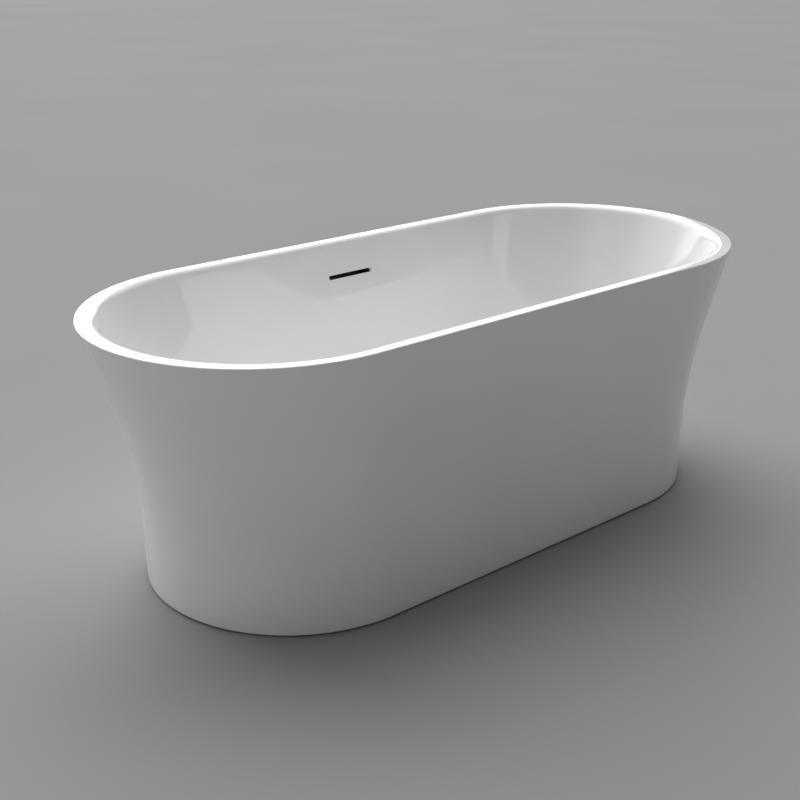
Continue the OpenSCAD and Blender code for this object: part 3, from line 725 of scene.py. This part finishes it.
def hose_path():
    """The hose's radius and length, and its (y, z, angle, distance) stations.

    It runs down beside the basin's wall, around a bend, and in to the waste.
    """
    low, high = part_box("overflow_hose")
    radius = high.x
    start = Vector((high.y - radius * math.cos(SIDE_ANGLE), high.z - radius * math.sin(SIDE_ANGLE)))
    end_z = low.z + radius
    way = Vector((-math.sin(SIDE_ANGLE), -math.cos(SIDE_ANGLE)))
    turn = math.pi / 2 - SIDE_ANGLE
    corner = (start.y - end_z) / math.cos(SIDE_ANGLE)
    straight = corner - HOSE_BEND * math.tan(turn / 2)
    centre = start + way * straight + Vector((way.y, -way.x)) * HOSE_BEND
    bend_end_y = centre.x
    total = straight + HOSE_BEND * turn + bend_end_y - low.y
    stations = []
    count = round(total / (HOSE_RIB_PITCH / RIB_STEPS))
    for k in range(count + 1):
        s = total * k / count
        if s < straight:
            point, angle = start + way * s, SIDE_ANGLE
        elif s < straight + HOSE_BEND * turn:
            angle = SIDE_ANGLE + (s - straight) / HOSE_BEND
            point = centre + Vector((math.cos(angle), -math.sin(angle))) * HOSE_BEND
        else:
            angle = math.pi / 2
            point = Vector((bend_end_y - (s - straight - HOSE_BEND * turn), end_z))
        stations.append((point.x, point.y, -angle, s))
    return radius, total, stations


def hose_ring(station, radius):
    y, z, angle = station[:3]
    ring = []
    for k in range(HOSE_SIDES):
        a = TURN * k / HOSE_SIDES
        across = radius * math.sin(a)
        ring.append((radius * math.cos(a), y + across * math.cos(angle), z + across * math.sin(angle)))
    return ring


def make_hose(materials):
    radius, total, stations = hose_path()
    outside = []
    for station in stations:
        s = station[3]
        between_cuffs = HOSE_CUFF < s < total - HOSE_CUFF
        wave = 0.5 - 0.5 * math.cos(TURN * (s - HOSE_CUFF) / HOSE_RIB_PITCH) if between_cuffs else 0
        outside.append(hose_ring(station, radius * HOSE_CLEARANCE - HOSE_RIB_DEPTH * wave))
    bore = radius - HOSE_WALL
    inside = [hose_ring(station, bore) for station in reversed(stations[::RIB_STEPS] + [stations[-1]])]
    mesh = loft("overflow_hose_ribbed", outside + inside, closed=True)
    place("overflow_hose_ribbed", mesh, materials, "grey_plastic", "bath", "overflow_hose")


# Levelling feet
STUD_RADIUS = 0.00592
STUD_PITCH = 0.00175
STUD_THREAD_DEPTH = 0.0009
STUD_HEX_Z = 0.016
STUD_HEX_HEIGHT = 0.008
STUD_SIDES = 24
STUD_BEVEL = 0.0008         # at the stud's lower end
STUD_TIP = 0.001            # plain tip over the thread
STUD_TIP_BEVEL = 0.0003
STUD_NECK = 0.0015          # undercut between the hexagon and the thread
STUD_NECK_END = 0.0004      # where the undercut's own ring sits, under the thread's start
THREAD_STEPS = 4            # rings to each turn of the thread
HEX_CORNER_CUT = 0.001      # how far the hexagon's corners are turned down at its faces
HEX_CORNER_RISE = 0.0006


def hexagon_radius(angle, corner, chamfer=0.0):
    """Radius of a hexagon with that corner radius, its corners turned down by chamfer."""
    sector = (angle + math.pi / 6) % (math.pi / 3) - math.pi / 6
    return min(corner * math.cos(math.pi / 6) / math.cos(math.pi / 6 - abs(sector)), corner - chamfer)


def ring_of(radius_at, z):
    """A ring of a stud, whose radius may change with the angle."""
    angles = [TURN * j / STUD_SIDES for j in range(STUD_SIDES)]
    return [(radius_at(a) * math.cos(a), radius_at(a) * math.sin(a), z) for a in angles]


def hexagon_ring(z, corner, chamfer=0.0):
    return ring_of(lambda a: hexagon_radius(a, corner, chamfer), z)


def thread_ring(z):
    """A ring of the thread: one wave around the stud, which turns with the height."""
    def radius_at(a):
        phase = (z / STUD_PITCH - a / TURN) % 1
        return STUD_RADIUS - STUD_THREAD_DEPTH * (1 - abs(2 * phase - 1))
    return ring_of(radius_at, z)


def make_foot_stud(k, materials):
    node = f"foot_stud_{k}"
    low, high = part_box(node)
    corner = (high.x - low.x) / 2
    hex_top = STUD_HEX_Z + STUD_HEX_HEIGHT
    root = STUD_RADIUS - STUD_THREAD_DEPTH
    rings = [around(STUD_RADIUS - STUD_BEVEL, low.z, STUD_SIDES)]
    rings += [around(STUD_RADIUS, z, STUD_SIDES) for z in (low.z + STUD_BEVEL, STUD_HEX_Z)]
    rings += [hexagon_ring(STUD_HEX_Z, corner, HEX_CORNER_CUT)]
    rings += [hexagon_ring(z, corner) for z in (STUD_HEX_Z + HEX_CORNER_RISE, hex_top - HEX_CORNER_RISE)]
    rings += [hexagon_ring(hex_top, corner, HEX_CORNER_CUT)]
    first, last = hex_top + STUD_NECK, high.z - STUD_TIP
    rings += [around(root, z, STUD_SIDES) for z in (hex_top, first - STUD_NECK_END)]
    count = round((last - first) / (STUD_PITCH / THREAD_STEPS))
    rings += [thread_ring(z) for z in steps(count, first, last)]
    rings.append(around(root - STUD_TIP_BEVEL, high.z, STUD_SIDES))
    middle = box_middle(node)
    place(f"{node}_threaded", loft(node, rings), materials, "bright_steel", node, node,
          (middle.x, middle.y, 0))


PAD_HEIGHT = 0.006
HUB_HEIGHT = 0.014
PAD_HUB_RADIUS = 0.011
SOCKET_RADIUS = 0.006
SOCKET_FLOOR = 0.004
PAD_FOOT_ROUND = 0.0012
PAD_TOP_ROUND = 0.002
PAD_HUB_ROUND = 0.001
PAD_HUB_FLARE = 0.0035
SOCKET_BEVEL = 0.0004
PAD_SIDES = 64
# The groove under the pad: distance in from the pad's edge, and height
PAD_GROOVE = ((0.010, 0), (0.0095, 0.0008), (0.0075, 0.0008), (0.007, 0))


def make_foot_pad(k, materials):
    node = f"foot_pad_{k}"
    low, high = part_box(node)
    radius = (high.x - low.x) / 2
    foot, top = radius - PAD_FOOT_ROUND, radius - PAD_TOP_ROUND
    hub = (PAD_HUB_RADIUS - PAD_HUB_ROUND, HUB_HEIGHT - PAD_HUB_ROUND)
    outline = [(AXIS_RADIUS, 0)] + [(radius - inset, z) for inset, z in PAD_GROOVE] + [(foot, 0)]
    outline += quarter((foot, PAD_FOOT_ROUND), PAD_FOOT_ROUND, -90, 0)[1:]
    outline += quarter((top, PAD_HEIGHT - PAD_TOP_ROUND), PAD_TOP_ROUND, 0, 75)
    outline += [(PAD_HUB_RADIUS + PAD_HUB_FLARE, PAD_HEIGHT), (PAD_HUB_RADIUS, PAD_HEIGHT)]
    outline += quarter(hub, PAD_HUB_ROUND, 0, 90)
    outline += [(SOCKET_RADIUS + SOCKET_BEVEL, HUB_HEIGHT), (SOCKET_RADIUS, HUB_HEIGHT - SOCKET_BEVEL)]
    outline += [(SOCKET_RADIUS, SOCKET_FLOOR), (AXIS_RADIUS, SOCKET_FLOOR)]
    middle = box_middle(node)
    place(f"{node}_moulded", spindle(node, outline, PAD_SIDES), materials, "black_rubber", node, node,
          (middle.x, middle.y, 0))


# CAD nodes that keep their shape, by the material that they take
KEPT_NODES = {
    "glass_fibre": ("rim_bonding_strip",),
    "plywood": ("base_board", *(f"skirt_block_{k}" for k in range(1, 5))),
    "zinc_steel": ("frame_rail_front", "frame_rail_rear", "frame_crossbar_left", "frame_crossbar_mid_left",
                   "frame_crossbar_mid_right", "frame_crossbar_right",
                   *(f"skirt_arm_{k}" for k in range(1, 5))),
    "bright_steel": ("board_screws", "arm_screws", "foot_weld_nuts", "foot_lock_nuts",
                     "hose_clip_top", "hose_clip_bottom"),
    "black_rubber": ("overflow_seal", "drain_gasket_top", "drain_gasket_bottom", "plug_seal"),
    "black_plastic": ("overflow_duct",),
    "grey_plastic": ("waste_body",),
    "chrome": ("plug_cartridge", "plug_stem"),
}


def dress_kept_nodes(materials):
    for name, nodes in KEPT_NODES.items():
        for node in nodes:
            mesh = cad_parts[node].data
            if not mesh.materials:
                mesh.materials.append(materials[name])
            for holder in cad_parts[node].material_slots:
                holder.material = materials[name]


# ---- Studio ----

FLOOR_SIZE = 120.0
CLEARANCE = 0.0002     # the floor lies this far under the feet
FLOOR_DARK = (0.335, 0.335, 0.335)
FLOOR_LIGHT = (0.35, 0.35, 0.35)


def make_floor():
    material, tree, shader = new_material("studio_floor")
    vector = object_coordinates(tree)
    patches = noise(tree, vector, 0.7, 4.0)
    tree.links.new(tint(tree, patches, FLOOR_DARK, FLOOR_LIGHT, 0.3, 0.7), shader.inputs["Base Color"])
    shader.inputs["Roughness"].default_value = 0.9
    shader.inputs["Specular IOR Level"].default_value = 0.1
    half = FLOOR_SIZE / 2
    mesh = bpy.data.meshes.new("studio_floor")
    corners = [(-half, -half, 0), (half, -half, 0), (half, half, 0), (-half, half, 0)]
    mesh.from_pydata(corners, [], [(0, 1, 2, 3)])
    floor = add_object("studio_floor", mesh, material)
    floor.location.z = cad_low.z - CLEARANCE


# Round soft lights, far off: azimuth from +Y towards +X, elevation, inner and outer half angle, and
# brightness. Angles are in degrees. The first is the grey backdrop.
SOFT_LIGHTS = (
    (-45, 0, 66, 92, 0.33),
    (74, 52, 12, 26, 2.2),
    (-42, 32, 2, 30, 1.1),
    (-105, 40, 6, 18, 0.85),
)
# The main softbox, behind and over the bath: azimuths and elevations of its edges. The soft edge is the one
# at the first azimuth; edges are measured as a sine.
MAIN_AZIMUTHS = (-14, 53)
MAIN_ELEVATIONS = (9, 84)
MAIN_SOFT_EDGE = 0.30
MAIN_SHARP_EDGE = 0.02
MAIN_BRIGHTNESS = 2.8
# A tall strip light in front: azimuth and elevation of its foot and its top, half width, and brightness
STRIP_FOOT = (150, 8)
STRIP_TOP = (196, 42)
STRIP_HALF_WIDTH = 4.0
STRIP_BRIGHTNESS = 1.2
STRIP_EDGE = 0.01      # softness of its edges, as a sine
HORIZON_GREY = 0.32
SKY_GREY = 0.03
HORIZON_TOP = 0.01     # sine of the elevation where the pale horizon starts to fade
SKY_START = 0.16       # sine of the elevation where the darker sky starts


def direction(azimuth, elevation):
    azimuth, elevation = math.radians(azimuth), math.radians(elevation)
    level = math.cos(elevation)
    return (math.sin(azimuth) * level, math.cos(azimuth) * level, math.sin(elevation))


def smooth_range(tree, value, limits, results):
    node = tree.nodes.new("ShaderNodeMapRange")
    node.interpolation_type = "SMOOTHSTEP"
    for name, number in zip(("From Min", "From Max", "To Min", "To Max"), (*limits, *results)):
        node.inputs[name].default_value = number
    tree.links.new(value, node.inputs["Value"])
    return node.outputs["Result"]


def combine(tree, operation, first, second):
    node = tree.nodes.new("ShaderNodeMath")
    node.operation = operation
    tree.links.new(first, node.inputs[0])
    tree.links.new(second, node.inputs[1])
    return node.outputs["Value"]


def facing(tree, where, towards):
    """Cosine of the angle between a direction and the one given."""
    node = tree.nodes.new("ShaderNodeVectorMath")
    node.operation = "DOT_PRODUCT"
    tree.links.new(where, node.inputs[0])
    node.inputs[1].default_value = towards
    return node.outputs["Value"]


def all_of(tree, factors):
    total = factors[0]
    for factor in factors[1:]:
        total = combine(tree, "MULTIPLY", total, factor)
    return total


def strip_light(tree, where, height):
    width = math.sin(math.radians(STRIP_HALF_WIDTH))
    foot, top = Vector(direction(*STRIP_FOOT)), Vector(direction(*STRIP_TOP))
    across = facing(tree, where, foot.cross(top).normalized())
    return all_of(tree, (
        smooth_range(tree, facing(tree, where, foot), (0, STRIP_EDGE), (0, STRIP_BRIGHTNESS)),
        smooth_range(tree, across, (-width - STRIP_EDGE, -width), (0, 1)),
        smooth_range(tree, across, (width, width + STRIP_EDGE), (1, 0)),
        smooth_range(tree, height, (foot.z - STRIP_EDGE, foot.z), (0, 1)),
        smooth_range(tree, height, (top.z, top.z + STRIP_EDGE), (1, 0)),
    ))


def main_light(tree, where, height):
    left, right = MAIN_AZIMUTHS
    low, high = (math.sin(math.radians(angle)) for angle in MAIN_ELEVATIONS)
    from_left = facing(tree, where, direction(left + 90, 0))
    from_right = facing(tree, where, direction(right - 90, 0))
    return all_of(tree, (
        smooth_range(tree, from_left, (-MAIN_SOFT_EDGE, 0), (0, MAIN_BRIGHTNESS)),
        smooth_range(tree, from_right, (-MAIN_SHARP_EDGE, 0), (0, 1)),
        smooth_range(tree, height, (low - MAIN_SHARP_EDGE, low + MAIN_SHARP_EDGE), (0, 1)),
        smooth_range(tree, height, (high, 1), (1, 0)),
    ))


def make_world():
    """A studio that is grey all round, with large soft lights over and behind the bath."""
    world = bpy.data.worlds.new("studio")
    world.use_nodes = True
    tree = world.node_tree
    where = tree.nodes.new("ShaderNodeTexCoord").outputs["Generated"]
    split = tree.nodes.new("ShaderNodeSeparateXYZ")
    tree.links.new(where, split.inputs["Vector"])
    total = smooth_range(tree, split.outputs["Z"], (HORIZON_TOP, SKY_START), (HORIZON_GREY, SKY_GREY))
    for azimuth, elevation, inner, outer, brightness in SOFT_LIGHTS:
        limits = (math.cos(math.radians(outer)), math.cos(math.radians(inner)))
        lobe = smooth_range(tree, facing(tree, where, direction(azimuth, elevation)), limits, (0, brightness))
        total = combine(tree, "MAXIMUM", total, lobe)
    total = combine(tree, "MAXIMUM", total, main_light(tree, where, split.outputs["Z"]))
    total = combine(tree, "ADD", total, strip_light(tree, where, split.outputs["Z"]))
    background = tree.nodes["Background"]
    background.inputs["Color"].default_value = (1, 1, 1, 1)
    tree.links.new(total, background.inputs["Strength"])
    bpy.context.scene.world = world


# ---- Making ----

add_camera()
materials = all_materials()
make_skirt(materials)
make_basin(materials)
make_drain_flange(materials)
make_plug_cap(materials)
make_spring(materials)
make_hose(materials)
for number in range(1, 6):
    make_foot_stud(number, materials)
    make_foot_pad(number, materials)
dress_kept_nodes(materials)
make_floor()
make_world()
bpy.context.scene.view_settings.view_transform = "Standard"
